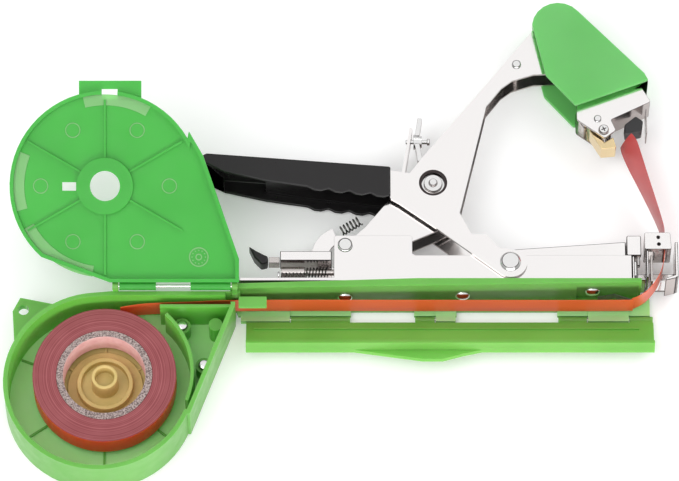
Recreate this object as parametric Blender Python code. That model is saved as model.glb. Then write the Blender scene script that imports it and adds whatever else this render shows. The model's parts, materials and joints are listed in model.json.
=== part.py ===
"""A plant-tying tape gun (tapener), lying on its side with its green case open.

Blender 4.5. Lengths below are in millimetres and are scaled by MM as meshes are made.
+X runs from the tape housing to the nose, +Y from the housing up to the head, and +Z
out of the table towards the open side of the case. The tool lies on z = 0.
"""

from math import cos, pi, radians, sin

import bpy
from mathutils import Matrix, Vector

MM = 0.001
# Moves the design origin to the middle of the object's footprint.
SHIFT = Vector((-1.35, 1.83, 0.0))

# ---- driving dimensions ----
MID = 11.5  # the plane that the tape, staples and levers share
CASE_TOP = 22.0  # open rim of the housing
WALL = 1.8
GAP = 0.3  # running clearance
SHEET = 1.2  # pressed steel
TAPE_WIDTH = 11.0
TAPE_THICK = 0.4

ROLL = (-94.6, -62.6)  # axis of the tape roll
ROLL_R = 29.0
CORE_R = (16.6, 19.4)
HOUSING = (-96.6, -67.0)
HOUSING_R = 38.5

ARM_PIVOT = (2.5, -6.2)
LEVER_PIVOT = (69.6, -14.2)
CAM_PIN = (38.4, 20.9)
ARM_RIVET = (73.2, 76.0)
JAW_RIVET = (106.3, 66.8)
JAW_SCREW = (108.6, 45.6)
JAW_RIVET_FRONT = (106.2, 50.6)  # through the near plate only
CAM_WELL = 5.8  # radius of the well that the pin's washer sits in
LEVER_RANGE = 14.5  # degrees that the grip is squeezed
ARM_RANGE = -17.4  # degrees that the head swings down to the nose

COVER_HINGE = (-27.0, 24.8)  # y, z of the hinge line
COVER_OPEN = 154.0
COVER_CENTRE = (-94.5, -67.5)
COVER_R = 38.5

FLAP_HINGE = (-31.8, 1.4)  # y, z
FLAP_OPEN = 70.0
FLAP_X = (-37.8, 128.0)
FLAP_WIDTH = 17.5

TAPE_Y = -29.8  # the tape's run along the channel
FRAME_Z = (4.0, 19.0)  # outer faces of the frame's side plates
FRAME_X = (-41.0, 118.8)
FRAME_FLOOR = (-21.7, -20.5)
ARM_HALF = 5.8
LEVER_HALF = 9.1
GRIP_HALF = 10.8


FLAP_LUGS = ((-40.0, -20.0), (39.4, 47.5), (101.4, 118.0))  # x of the hinge lugs
FLAP_KNUCKLES = ((-19.6, 4.5), (31.0, 39.0), (89.4, 101.0), (118.4, 127.8))
FLAP_PINS = ((-39.5, 4.0), (31.5, 47.0), (90.0, 127.4))
CHANNEL_SCREWS = (2.5, 50.2, 103.0)
HOUSING_SCREWS = ((-63.6, -38.2), (-54.6, -55.6))

# ---- helpers ----
def clear_scene():
    for obj in list(bpy.data.objects):
        bpy.data.objects.remove(obj)


def mesh_object(name, points, faces):
    mesh = bpy.data.meshes.new(name)
    mesh.from_pydata([tuple((Vector(p) + SHIFT) * MM) for p in points], [], faces)
    mesh.validate()
    mesh.update()
    obj = bpy.data.objects.new(name, mesh)
    bpy.context.scene.collection.objects.link(obj)
    return obj


def counter_clockwise(outline):
    area = sum(
        a[0] * b[1] - b[0] * a[1] for a, b in zip(outline, outline[1:] + outline[:1])
    )
    return outline if area > 0 else outline[::-1]


def prism(name, outline, low, high, turn=None):
    """The outline extruded from z = low to high, then turned by a matrix."""
    outline = counter_clockwise(list(outline))
    count = len(outline)
    points = [Vector((x, y, z)) for z in (low, high) for x, y in outline]
    faces = [list(range(count))[::-1], list(range(count, 2 * count))]
    faces += [
        [i, (i + 1) % count, count + (i + 1) % count, count + i] for i in range(count)
    ]
    if turn:
        points = [turn @ p for p in points]
    return mesh_object(name, points, faces)


def box(name, x, y, z, turn=None):
    return prism(
        name, [(x[0], y[0]), (x[1], y[0]), (x[1], y[1]), (x[0], y[1])], *z, turn
    )


def arc(centre, radius, start, end, steps):
    """Points on an arc, angles in degrees."""
    return [
        (
            centre[0] + radius * cos(radians(start + (end - start) * i / steps)),
            centre[1] + radius * sin(radians(start + (end - start) * i / steps)),
        )
        for i in range(steps + 1)
    ]


def circle(centre, radius, sides=32):
    return arc(centre, radius, 0, 360, sides)[:-1]


def disc(name, centre, radius, low, high, sides=32, turn=None):
    return prism(name, circle(centre, radius, sides), low, high, turn)


def lathe(name, centre, profile, sides=32, turn=None):
    """A solid turned about the z axis through centre. Profile: (radius, z) upwards
    along the outside, and back down the inside when it has a bore."""
    points, rings = [], []
    for radius, z in profile:
        if radius == 0:
            rings.append([len(points)] * sides)
            points.append(Vector((*centre, z)))
            continue
        rings.append(list(range(len(points), len(points) + sides)))
        points += [Vector((x, y, z)) for x, y in circle(centre, radius, sides)]
    faces = []
    pairs = list(zip(rings, rings[1:]))
    if profile[0][0] and profile[-1][0]:
        pairs.append((rings[-1], rings[0]))
    for lower, upper in pairs:
        for i in range(sides):
            j = (i + 1) % sides
            corners = [lower[i], lower[j], upper[j], upper[i]]
            face = [c for n, c in enumerate(corners) if c not in corners[:n]]
            if len(face) > 2:
                faces.append(face)
    if turn:
        points = [turn @ p for p in points]
    return mesh_object(name, points, faces)


def along_x(y, z):
    """Turns a shape built on the z axis so that its axis runs along x through y, z."""
    return Matrix.Translation((0, y, z)) @ Matrix.Rotation(pi / 2, 4, "Y")


def along_y(x, z):
    return Matrix.Translation((x, 0, z)) @ Matrix.Rotation(-pi / 2, 4, "X")


def about_x(hinge, degrees):
    """Turns about the line along x through y, z."""
    y, z = hinge
    return (
        Matrix.Translation((0, y, z))
        @ Matrix.Rotation(radians(degrees), 4, "X")
        @ Matrix.Translation((0, -y, -z))
    )


def change(obj, operation, tools):
    for tool in tools:
        tool.hide_render = True
        tool.display_type = "WIRE"
        modifier = obj.modifiers.new(f"{operation.lower()} {tool.name}", "BOOLEAN")
        modifier.operation = operation
        modifier.solver = "EXACT"
        modifier.object = tool
    return obj


def cut(obj, *tools):
    return change(obj, "DIFFERENCE", tools)


def join(obj, *tools):
    return change(obj, "UNION", tools)


def inset(outline, distance):
    """The outline moved inwards by distance, with mitred corners."""
    outline = counter_clockwise(list(outline))
    count = len(outline)
    moved = []
    for i, (x, y) in enumerate(outline):
        before, after = outline[i - 1], outline[(i + 1) % count]
        one = Vector((x - before[0], y - before[1])).normalized()
        two = Vector((after[0] - x, after[1] - y)).normalized()
        bisector = Vector((-one.y - two.y, one.x + two.x)).normalized()
        reach = distance / max(0.3, bisector.dot(Vector((-two.y, two.x))))
        moved.append((x + bisector.x * reach, y + bisector.y * reach))
    return moved


def rounded(corners, radius, steps=4):
    """The outline with each corner replaced by a small arc."""
    count = len(corners)
    result = []
    for i, corner in enumerate(corners):
        c = Vector(corner)
        before = (Vector(corners[i - 1]) - c).normalized()
        after = (Vector(corners[(i + 1) % count]) - c).normalized()
        start, end = c + before * radius, c + after * radius
        for n in range(steps + 1):
            t = n / steps
            result.append(tuple(start * (1 - t) ** 2 + c * 2 * t * (1 - t) + end * t**2))
    return result


def sweep(name, path, section):
    """A closed bar: section corners (u, v) carried along path frames (p, u axis, v axis)."""
    points, count = [], len(section)
    for place, u_axis, v_axis in path:
        points += [place + u_axis * u + v_axis * v for u, v in section]
    faces = [list(range(count))[::-1]]
    for ring in range(len(path) - 1):
        for i in range(count):
            j = (i + 1) % count
            a, b = ring * count, (ring + 1) * count
            faces.append([a + i, a + j, b + j, b + i])
    faces.append([(len(path) - 1) * count + i for i in range(count)])
    return mesh_object(name, points, faces)


def coil(name, start, end, radius, wire, turns, steps=12, sides=5):
    """A round-wire spring from start to end."""
    start, end = Vector(start), Vector(end)
    axis = (end - start).normalized()
    side = axis.cross(Vector((0, 0, 1))).normalized()
    up = side.cross(axis)
    total = turns * steps
    path = []
    for i in range(total + 1):
        angle = 2 * pi * i / steps
        outward = side * cos(angle) + up * sin(angle)
        path.append((start + (end - start) * i / total + outward * radius, outward, axis))
    ring = [
        (wire / 2 * cos(2 * pi * s / sides), wire / 2 * sin(2 * pi * s / sides))
        for s in range(sides)
    ]
    return sweep(name, path, ring)


def ribbon(name, stations):
    """Tape through stations (x, y, z, twist in degrees), its width across the run."""
    section = [
        (-TAPE_WIDTH / 2, -TAPE_THICK / 2),
        (-TAPE_WIDTH / 2, TAPE_THICK / 2),
        (TAPE_WIDTH / 2, TAPE_THICK / 2),
        (TAPE_WIDTH / 2, -TAPE_THICK / 2),
    ]
    path = []
    for i, (x, y, z, twist) in enumerate(stations):
        before = stations[max(0, i - 1)]
        after = stations[min(len(stations) - 1, i + 1)]
        run = Vector((after[0] - before[0], after[1] - before[1], 0)).normalized()
        across = Matrix.Rotation(radians(twist), 3, run) @ Vector((0, 0, 1))
        path.append((Vector((x, y, z)), across, across.cross(run)))
    return sweep(name, path, section)


def pin(name, centre, radius, head_radius, low, high, head=0.8, sides=24):
    """A headed pin: the shank runs from low to high between two heads."""
    return lathe(
        name,
        centre,
        [
            (0, low - head),
            (head_radius, low - head),
            (head_radius, low),
            (radius, low),
            (radius, high),
            (head_radius, high),
            (head_radius * 0.8, high + head),
            (0, high + head),
        ],
        sides,
    )


def screw(name, radius, seat, length, turn):
    """A domed screw head on the seat with its shank behind."""
    return lathe(
        name,
        (0, 0),
        [
            (0, seat - length),
            (radius * 0.45, seat - length),
            (radius * 0.45, seat),
            (radius, seat),
            (radius * 0.8, seat + radius * 0.4),
            (0, seat + radius * 0.6),
        ],
        20,
        turn,
    )


# ---- green case ----
def housing_outline():
    bottom_right = (-59.8, -81.5)
    round_part = arc(HOUSING, HOUSING_R, -22, -262, 44)
    return [(-42.0, -28.0), (-42.0, -34.0), bottom_right] + round_part + [(-92.0, -28.0)]


def build_body_shell():
    outline = housing_outline()
    body = prism("body_shell", outline, 0, CASE_TOP)
    cut(body, prism("cut_housing", inset(outline, WALL), 2.0, CASE_TOP + 1))
    channel = [
        (-43.0, -26.6),
        (122.6, -24.0),
        (122.6, -22.2),
        (32.0, -22.2),
        (-43.0, -24.6),
    ]
    back = [
        (-43.0, -25.0),
        (126.7, -22.6),
        (126.7, -30.2),
        (-41.0, -30.2),
    ]
    pocket_ring = arc(ROLL, 36.2, 46, -20, 12) + arc(ROLL, 34.8, -20, 46, 12)
    parts = [
        prism("add_channel_top", channel, 0.6, CASE_TOP),
        prism("add_channel_back", back, 0.0, 1.8),
        prism("add_pocket_arc", pocket_ring, 1.0, 20),
        box("add_pocket_top", (-72.5, -42.5), (-34.2, -32.9), (1.0, 20)),
        box("add_neck", (-44.0, -40.0), (-28.2, -24.8), (0.2, CASE_TOP - 1.1)),
        disc("add_boss", (-50.0, -39.2), 2.8, 1.0, 14, 16),
        *[
            disc(f"add_screw_boss_{i}", centre, 3.4, 1.0, 10, 16)
            for i, centre in enumerate(HOUSING_SCREWS)
        ],
        prism(
            "add_hang_loop",
            [(-132.4, -33.0), (-129.4, -27.0), (-114.0, -30.2), (-114.0, -42.0), (-131.5, -46.0)],
            9.0,
            13.0,
        ),
        # lugs that carry the flap's hinge pin
        *[
            prism(
                f"add_lug_{i}",
                [(a, -28.5), (b, -28.5), (b, -33.0), (a, -33.0)],
                0.0,
                2.9,
            )
            for i, (a, b) in enumerate(FLAP_LUGS)
        ],
    ]
    join(body, *parts)
    holes = [
        # inside of the housing again, where the loop tab passes through the wall
        prism("cut_loop_inside", arc(HOUSING, HOUSING_R - WALL, 100, 180, 16) + [HOUSING], 8, 14),
        disc("cut_loop_hole", (-128.0, -32.4), 2.2, 8, 14, 20),
        # the tape's way out of the housing
        box("cut_tape_exit", (-46.0, -38.0), (-32.6, -28.4), (3.5, CASE_TOP + 1)),
        *[
            disc(f"cut_screw_{i}", (0, 0), 1.45, -29, -20, 16, along_y(x, MID))
            for i, x in enumerate(CHANNEL_SCREWS)
        ],
        *[
            disc(f"cut_housing_screw_{i}", centre, 1.45, 6.0, 12, 16)
            for i, centre in enumerate(HOUSING_SCREWS)
        ],
        box("cut_window", (96.5, 121.5), (-27.0, -23.3), (5.0, 18.5)),
        box("cut_slot_1", (4.9, 30.6), (-34.0, -28.0), (-1.0, 3.5)),
        box("cut_slot_2", (47.9, 89.0), (-34.0, -28.0), (-1.0, 3.5)),
        disc("cut_flap_pin", (0, 0), 0.95, -45, 130, 12, along_x(*FLAP_HINGE)),
    ]
    return cut(body, *holes)



def build_tape_cover():
    """Built closed over the housing, then swung open about its hinge."""
    y0, z0 = COVER_HINGE
    swing = about_x(COVER_HINGE, -COVER_OPEN)
    low, high = z0 - 0.7, z0 + 0.9
    edge = y0 - 1.6  # where the lid starts, clear of the hinge barrel
    outline = [
        (-40.4, edge),
        (-40.4, y0 - 11),
        (-54.8, y0 - 52.6),
        (-60.6, y0 - 62.6),
    ] + arc(COVER_CENTRE, COVER_R, -30, -228, 36) + [(-92.6, edge)]
    cover = prism("tape_cover", outline, low - 1.8, high, swing)
    cut(cover, prism("cut_rim", inset(outline, 1.5), low - 4, low, swing))
    tab = [(-105.0, y0 - 76), (-79.8, y0 - 76), (-79.8, y0 - 83), (-105.0, y0 - 83)]
    x, y = COVER_CENTRE
    ribs = []
    for i in range(6):
        turned = Matrix.Translation((x, y, 0)) @ Matrix.Rotation(radians(30 + 60 * i), 4, "Z")
        ribs.append(
            box(f"add_rib_{i}", (10.5, 36.0), (-0.4, 0.4), (low - 1.1, low + 0.5), swing @ turned)
        )
    knuckles = [
        disc(f"add_knuckle_{i}", (0, 0), 1.7, a, b, 16, swing @ along_x(*COVER_HINGE))
        for i, (a, b) in enumerate(COVER_KNUCKLES)
    ]
    webs = [
        box(f"add_web_{i}", (a + 0.3, b - 0.3), (y0 - 2.4, y0 - 0.9), (low + 0.1, high - 0.1), swing)
        for i, (a, b) in enumerate(COVER_KNUCKLES)
    ]
    join(
        cover,
        prism("add_tab", tab, low + 0.1, high - 0.1, swing),
        disc("add_centre_boss", COVER_CENTRE, 11.4, low - 2.0, low + 0.5, 40, swing),
        *ribs,
        *webs,
        *knuckles,
    )
    return cut(
        cover,
        disc("cut_centre", COVER_CENTRE, 6.1, low - 5, high + 5, 32, swing),
        box("cut_tab_slot", (-95.8, -89.4), (y0 - 79.6, y0 - 75.4), (low - 5, high + 5), swing),
        box("cut_small_slot", (-111.8, -106.2), (y0 - 42, y0 - 38.6), (low - 5, high + 5), swing),
        disc("cut_cover_pin", (0, 0), 0.95, -100, -35, 12, along_x(*COVER_HINGE)),
    )


def build_channel_cover():
    """The gutter-shaped flap under the channel, hanging open."""
    y0, z0 = FLAP_HINGE
    left, right = FLAP_X
    swing = about_x(FLAP_HINGE, FLAP_OPEN - 90)
    # section of the web and its lip, standing open, before the swing
    far = y0 - FLAP_WIDTH
    flap = box("channel_cover", (left, right), (far, y0 - 2.2), (z0 - 0.8, z0 + 0.8), swing)
    lip = box("add_lip", (left, right), (far, far + 1.5), (z0 - 0.8, z0 + 5.0), swing)
    grip = prism(
        "add_flap_grip",
        [(6.0, 0.0), (18.0, 2.2), (34.0, 5.0), (42.0, 5.0), (50.0, 2.2), (58.0, 0.0), (58, -1), (6, -1)],
        z0 - 0.8,
        z0 + 0.8,
        swing @ Matrix.Translation((0, far, 0)) @ Matrix.Scale(-1, 4, (0, 1, 0)),
    )
    ridge = box("add_ridge", (left + 3, right - 6), (y0 - 6.4, y0 - 5.6), (z0, z0 + 1.6), swing)
    knuckles = [
        disc(f"add_flap_knuckle_{i}", (0, 0), 1.3, a, b, 12, swing @ along_x(*FLAP_HINGE))
        for i, (a, b) in enumerate(FLAP_KNUCKLES)
    ]
    knuckles += [
        box(f"add_flap_web_{i}", (a + 0.2, b - 0.2), (y0 - 2.6, y0 - 0.6), (z0 - 0.7, z0 + 0.7), swing)
        for i, (a, b) in enumerate(FLAP_KNUCKLES)
    ]
    join(flap, lip, grip, ridge, *knuckles)
    return cut(flap, disc("cut_flap_bore", (0, 0), 0.95, -45, 130, 12, along_x(*FLAP_HINGE)))


def build_hinge_pins():
    y, z = COVER_HINGE
    for i, (a, b) in enumerate(((-43.4, -41.0), (-91.6, -89.2))):
        hinge_lug = disc(f"add_cover_lug_{i}", (0, 0), 1.6, a, b, 16, along_x(y, z))
        foot = box(f"add_cover_foot_{i}", (a + 0.1, b - 0.1), (y - 2.2, y + 0.6), (CASE_TOP - 4.0, CASE_TOP - 0.4))
        neck = box(f"add_cover_lug_neck_{i}", (a + 0.2, b - 0.2), (y - 1.2, y + 1.2), (CASE_TOP - 3.0, z - 0.3))
        join(bpy.data.objects["body_shell"], foot, neck, hinge_lug)
    cut(
        bpy.data.objects["body_shell"],
        disc("cut_cover_lug_pin", (0, 0), 0.95, -100, -35, 12, along_x(y, z)),
    )
    disc("cover_hinge_pin", (0, 0), 0.65, -91.4, -41.2, 12, along_x(y, z))
    y, z = FLAP_HINGE
    for i, (a, b) in enumerate(FLAP_PINS):
        disc(f"flap_hinge_pin_{i + 1}", (0, 0), 0.65, a, b, 12, along_x(y, z))


# ---- tape ----
def build_tape():
    lathe(
        "roll_hub",
        ROLL,
        [
            (0, 2.2),
            (15.4, 2.2),
            (15.4, 4.0),
            (11.4, 4.0),
            (11.4, 8.0),
            (9.6, 8.0),
            (9.6, 5.0),
            (5.3, 5.0),
            (5.3, 15.0),
            (3.9, 15.0),
            (3.9, 10.0),
            (0, 10.0),
        ],
        36,
    )
    inner, outer = CORE_R
    low, high = MID - TAPE_WIDTH / 2, MID + TAPE_WIDTH / 2
    lathe(
        "tape_core",
        ROLL,
        [(inner, low - 0.4), (outer, low - 0.4), (outer, high + 0.3), (inner, high + 0.3)],
        48,
    )
    lathe(
        "tape_roll",
        ROLL,
        [(outer + 0.02, low), (ROLL_R, low), (ROLL_R, high), (outer + 0.02, high)],
        64,
    )
    run = [
        (-90.0, -33.0, MID, 0),
        (-78.0, -31.4, MID, 0),
        (-60.0, -30.6, MID, 0),
        (-36.0, TAPE_Y, MID, 0),
        (40.0, TAPE_Y, MID, 0),
        (112.0, TAPE_Y, MID, 0),
        (119.0, -29.0, MID, 0),
        (124.0, -26.4, MID, 0),
        (127.6, -22.6, MID, 0),
        (130.2, -18.4, MID, 0),
        (131.8, -13.6, MID, 0),
        (132.6, -8.0, MID, 0),
        (132.6, -1.0, MID, 0),
    ]
    ribbon("tape_run", run)
    # the free span is straight-sided here; its twist is a matter of looks
    span = [
        (132.6, 0.2, MID, 0),
        (130.4, 9.0, MID, 0),
        (123.8, 26.0, MID, 0),
        (117.4, 44.0, MID, 0),
    ]
    ribbon("tape_span", span)


# ---- chrome frame and magazine ----
def build_frame():
    left, right = FRAME_X
    back, front = FRAME_Z
    low, top = FRAME_FLOOR
    floor = [(left, low - 0.2), (right, low + 0.0), (right, top), (left, top - 0.2)]
    frame = prism("main_frame", floor, back, front)
    side = rounded([(-2.0, -21.2), (-2.0, -2.0), (29.8, -2.0), (29.8, -10.8)], 1.2)[5:15]
    side = [(-2.0, -21.2)] + side + [(29.8, -10.0), (31.0, -10.8), (right, -10.8), (right, -21.2)]
    for i, z in enumerate(((back, back + SHEET), (front - SHEET, front))):
        join(frame, prism(f"add_side_{i}", side, *z))
    # stop plate behind the arm pivot, and the strap that carries the tape fence
    sector = arc(ARM_PIVOT, 13.8, 172, 112, 12) + arc(ARM_PIVOT, 7.0, 112, 172, 8)
    build_rear_stop(sector)
    cut(
        frame,
        disc("cut_arm_pivot", ARM_PIVOT, 1.9, 0, 25, 24),
        disc("cut_lever_pivot", LEVER_PIVOT, 2.3, 0, 25, 24),
        *[
            disc(f"cut_frame_screw_{i}", (0, 0), 1.45, -24, -19, 16, along_y(x, MID))
            for i, x in enumerate(CHANNEL_SCREWS)
        ],
    )


def build_rear_stop(sector):
    stop = prism("rear_stop", sector, 5.4, 6.6)
    join(stop, box("add_stop_foot", (-9.0, 2.4), (-20.3, -4.0), (5.4, 6.6)))
    cut(stop, disc("cut_stop", ARM_PIVOT, 6.9, 0, 25, 24))


def build_magazine():
    floor, top_left, top_right = -20.3, -13.8, -10.4
    start, change_x, end = 22.0, 55.0, 116.8
    side = [(start, floor), (end, floor), (end, top_right), (change_x, top_right), (change_x - 3, top_left), (start, top_left)]
    magazine = prism("magazine", side, MID - 4.8, MID + 4.8)
    cut(magazine, box("cut_magazine", (start - 1, end + 1), (floor + 1.0, 0), (MID - 3.8, MID + 3.8)))
    for i, x in enumerate(CHANNEL_SCREWS[1:]):
        cut(magazine, disc(f"cut_magazine_screw_{i}", (0, 0), 1.6, -24, -18.9, 16, along_y(x, MID)))
    cut(magazine, disc("cut_magazine_pivot", LEVER_PIVOT, 2.6, 0, 25, 24))
    cover = [(56.0, -12.6), (116.6, -12.6), (116.6, -4.2), (56.0, -8.6)]
    top = prism("magazine_cover", cover, MID - 6.0, MID + 6.0)
    inner = [(55.0, -13.6), (117.6, -13.6), (117.6, -5.3), (55.0, -9.7)]
    cut(top, prism("cut_magazine_cover", inner, MID - 5.0, MID + 5.0))
    cut(top, disc("cut_magazine_cover_pivot", LEVER_PIVOT, 2.6, 0, 25, 24))
    box("staple_strip", (76.0, 116.4), (-18.9, -14.2), (MID - 3.3, MID + 3.3))
    box("pusher", (61.0, 75.6), (-18.9, -17.0), (MID - 3.4, MID + 3.4))


def build_rear_feed():
    box("feed_block", (-24.0, -3.0), (-11.8, -7.6), (MID - 4.6, MID + 4.6))
    box("pusher_tab", (-28.6, -24.2), (-12.0, -9.4), (MID - 2.6, MID + 2.6))
    tip = [(-36.9, -4.6), (-34.0, -6.6), (-30.4, -8.6), (-28.9, -9.2), (-28.9, -12.2), (-31.6, -12.9), (-34.5, -9.8)]
    prism("pusher_tip", tip, MID - 3.4, MID + 3.4)
    lathe(
        "pusher_rod",
        (0, 0),
        [(0, -23.6), (2.3, -23.6), (2.3, -14.0), (1.3, -14.0), (1.3, 60.8), (0, 60.8)],
        16,
        along_x(-15.2, MID),
    )
    coil("pusher_spring", (-13.4, -15.2, MID), (-4.5, -15.2, MID), 1.95, 0.55, 7)
    coil("base_spring", (-23.6, -18.6, 16.0), (-12.0, -18.6, 16.0), 1.25, 0.45, 8)
    lathe(
        "spring_washer",
        (0, 0),
        [(0.5, -24.8), (1.7, -24.8), (1.7, -24.2), (0.5, -24.2)],
        16,
        along_x(-18.6, 16.0),
    )


# ---- nose ----
def build_nose():
    block = prism("nose_block", rounded([(118.9, -10.4), (122.9, -10.4), (122.9, -1.6), (117.0, -1.6), (117.0, -10.4)], 0.5, 2), 5.0, 18.0)
    cut(block, box("cut_nose_block", (116.0, 124.0), (-12, -3.0), (7.6, 15.4)))
    guide = prism("tape_guide", rounded([(124.3, -7.8), (135.2, -7.8), (134.8, -0.4), (124.3, -0.4)], 0.7), 4.5, 18.5)
    cut(
        guide,
        box("cut_guide_tape", (131.9, 133.5), (-9, 1), (5.4, 17.6)),
        box("cut_guide_staple", (126.0, 128.4), (-9, 1), (7.4, 15.6)),
        disc("cut_guide_hole_1", (129.9, -2.6), 0.7, 15, 20, 10),
        disc("cut_guide_hole_2", (130.1, -5.6), 0.7, 15, 20, 10),
    )
    plate = box("nose_plate", (124.9, 125.8), (-20.2, -8.1), (5.0, 18.0))
    cut(plate, box("cut_nose_plate", (124, 127), (-17.0, -11.5), (12.6, 14.6)))
    box("driver", (126.7, 127.6), (-20.6, -9.0), (MID - 3.3, MID + 3.3))
    tie = box("nose_tie", (119.1, 124.6), (-21.4, -20.4), (5.0, 18.0))
    join(tie, box("add_tie_rear", (119.1, 120.1), (-21.4, -10.7), (15.6, 18.0)))
    join(tie, box("add_tie_back", (119.1, 120.1), (-21.4, -10.7), (5.0, 7.4)))
    bracket = box("front_bracket", (136.6, 137.8), (-20.0, -4.4), (1.4, 18.0))
    join(
        bracket,
        box("add_bracket_strap", (100.0, 137.0), (-19.6, -12.0), (1.4, 2.6)),
        prism(
            "add_bracket_guide",
            [(132.6, -21.4), (136.8, -20.4), (137.8, -19.0), (137.8, -17.8), (136.4, -19.0), (132.6, -20.4)],
            1.4,
            18.0,
        ),
    )
    leaf = [(105.0, -26.6), (112.0, -25.4), (118.4, -27.7), (118.4, -28.1), (112.0, -25.8), (105.0, -27.0)]
    prism("brake_spring", leaf, MID - 2.0, MID + 2.0)


# ---- handle ----
def lever_plate_outline():
    front = arc(LEVER_PIVOT, 6.9, -120, 42, 12)
    return (
        [(-30.0, 26.4), (22.0, 26.3), (31.0, 24.8), (40.5, 28.4), (44.5, 23.0), (49.0, 7.8), (53.8, -2.0), (59.8, -2.2), (65.0, -8.0)]
        + front[::-1]
        + [(40.3, 0.0), (24.5, 11.6), (21.2, 13.6), (19.0, 18.0), (-13.0, 21.8), (-30.0, 24.8)]
    )


def build_lever():
    outline = lever_plate_outline()
    lever = prism("lever", outline, MID - LEVER_HALF, MID - LEVER_HALF + SHEET)
    join(
        lever,
        prism("add_lever_front", outline, MID + LEVER_HALF - SHEET, MID + LEVER_HALF),
        box("add_lever_web", (-30.0, 25.0), (25.2, 26.3), (MID - LEVER_HALF + 0.5, MID + LEVER_HALF - 0.5)),
        prism(
            "add_lever_tab",
            [(22.0, 26.3), (22.0, 25.2), (25.4, 25.2), (26.8, 26.2), (30.2, 47.4), (29.0, 47.6), (25.6, 27.0), (24.8, 26.3)],
            MID - 5.0,
            MID + 5.0,
        ),
    )
    cut(
        lever,
        disc("cut_lever_hub", LEVER_PIVOT, 2.3, 0, 25, 24),
        disc("cut_lever_cam_pin", CAM_PIN, CAM_WELL, 0, 25, 36),
        disc("cut_lever_stud", (0, 0), 1.25, 20, 40, 16, along_x(43.4, MID)),
    )


def grip_outline():
    """Side view of the grip's walls, with finger waves on the lower edge."""
    waves = []
    for i in range(13):
        x = -13.0 + 34.0 * i / 12
        waves.append((x, 17.6 - 0.11 * (x + 13.0) + 0.8 * cos(pi * i / 1.5)))
    lower = [(-55.8, 29.6), (-47.0, 25.0), (-30.0, 21.0)] + waves
    return [(21.0, 27.6), (-22.0, 31.0), (-54.2, 33.6), (-56.4, 32.4)] + lower


def build_grip():
    outline = counter_clockwise(grip_outline())
    grip = prism("grip", outline, MID - GRIP_HALF, MID + GRIP_HALF)
    # hollow from below, leaving the top web and both side walls
    hollow = [(23.0, 25.0), (-21.0, 28.4), (-52.6, 31.0), (-58.0, 26.0), (-50.0, 5.0), (23.0, 5.0)]
    cut(grip, prism("cut_grip", hollow, MID - LEVER_HALF - GAP, MID + LEVER_HALF + GAP))
    cut(grip, prism("cut_grip_lever", [(23, 26.7), (-30.4, 26.7), (-30.4, 5), (23, 5)], MID - LEVER_HALF - GAP, MID + LEVER_HALF + GAP))


def build_pins():
    half = LEVER_HALF
    pin("lever_pivot_pin", LEVER_PIVOT, 2.0, 4.3, MID - half - 0.2, MID + half + 0.2, 0.9, 32)
    pin("arm_pivot_pin", ARM_PIVOT, 1.6, 3.2, FRAME_Z[0] - 0.2, FRAME_Z[1] + 0.2, 0.6, 28)
    upper = [
        (1.5, 6.5),
        (CAM_WELL + 0.9, 6.5),
        (CAM_WELL + 0.9, 7.4),
        (3.7, 7.4),
        (3.7, 8.8),
        (1.7, 8.8),
        (1.5, 9.9),
        (0, 9.9),
    ]
    profile = [(r, MID - h) for r, h in upper[::-1]] + [(r, MID + h) for r, h in upper]
    lathe("cam_pin", CAM_PIN, profile, 36)


def cam_slot():
    """The cam pin's path in the arm as the grip closes: the slot that it runs in."""
    path = []
    for i in range(9):
        lever = radians(LEVER_RANGE * i / 8)
        arm = radians(-ARM_RANGE * i / 8)
        place = Vector((*CAM_PIN, 0)) - Vector((*LEVER_PIVOT, 0))
        place = Matrix.Rotation(lever, 3, "Z") @ place + Vector((*LEVER_PIVOT, 0))
        place = Matrix.Rotation(arm, 3, "Z") @ (place - Vector((*ARM_PIVOT, 0)))
        path.append((place.x + ARM_PIVOT[0], place.y + ARM_PIVOT[1]))
    return path


# ---- arm and head ----
ARM_WEB = [(79.8, 91.3), (55.1, 60.0), (33.7, 33.3), (19.0, 12.7), (10.8, 2.5), (6.4, -1.6)]
ARM_INNER = [(40.6, 1.1), (46.0, 4.4), (49.4, 9.6), (60.5, 56.9), (66.7, 65.0), (71.2, 68.5), (80.2, 71.4), (96.0, 72.0), (105.0, 62.0), (110.0, 66.0), (97.0, 84.0), (90.0, 94.0), (84.0, 96.0)]


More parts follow.
